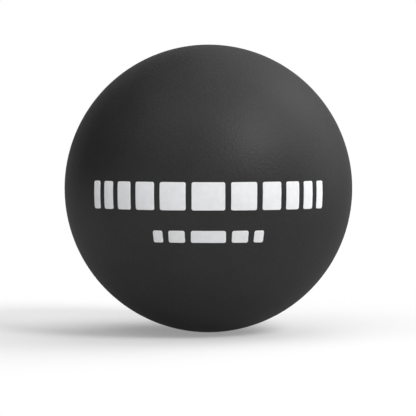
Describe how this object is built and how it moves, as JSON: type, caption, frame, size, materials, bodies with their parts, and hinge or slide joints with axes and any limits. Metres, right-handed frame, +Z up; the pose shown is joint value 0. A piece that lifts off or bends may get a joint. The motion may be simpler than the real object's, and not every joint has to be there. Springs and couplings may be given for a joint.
{
  "type": "squash ball",
  "caption": "Hollow black rubber ball for squash, moulded as half shells bonded rim to rim around trapped air, with a plain white printed band and yellow speed dots.",
  "frame": {"origin": "centre of the ball", "axes": "-Y out of the middle of the printed front, +Y out of the rear between the speed dots, +Z up the upright print, +X to the right as the front is seen. The seam lies in the XZ plane"},
  "size_m": [0.04, 0.0401, 0.04],
  "materials": {
    "black_rubber": "matte black butyl rubber, buffed to a fine even grain",
    "rubber_cement": "cured black rubber cement, a little smoother than the shells",
    "white_ink": "flat white printing ink",
    "yellow_ink": "flat yellow printing ink"
  },
  "bodies": {
    "root": {"front_half_shell": "black_rubber", "rear_half_shell": "black_rubber", "seam_cement": "rubber_cement", "front_print_bars": "white_ink", "front_print_dashes": "white_ink", "left_speed_dot": "yellow_ink", "right_speed_dot": "yellow_ink"}
  },
  "joints": []
}
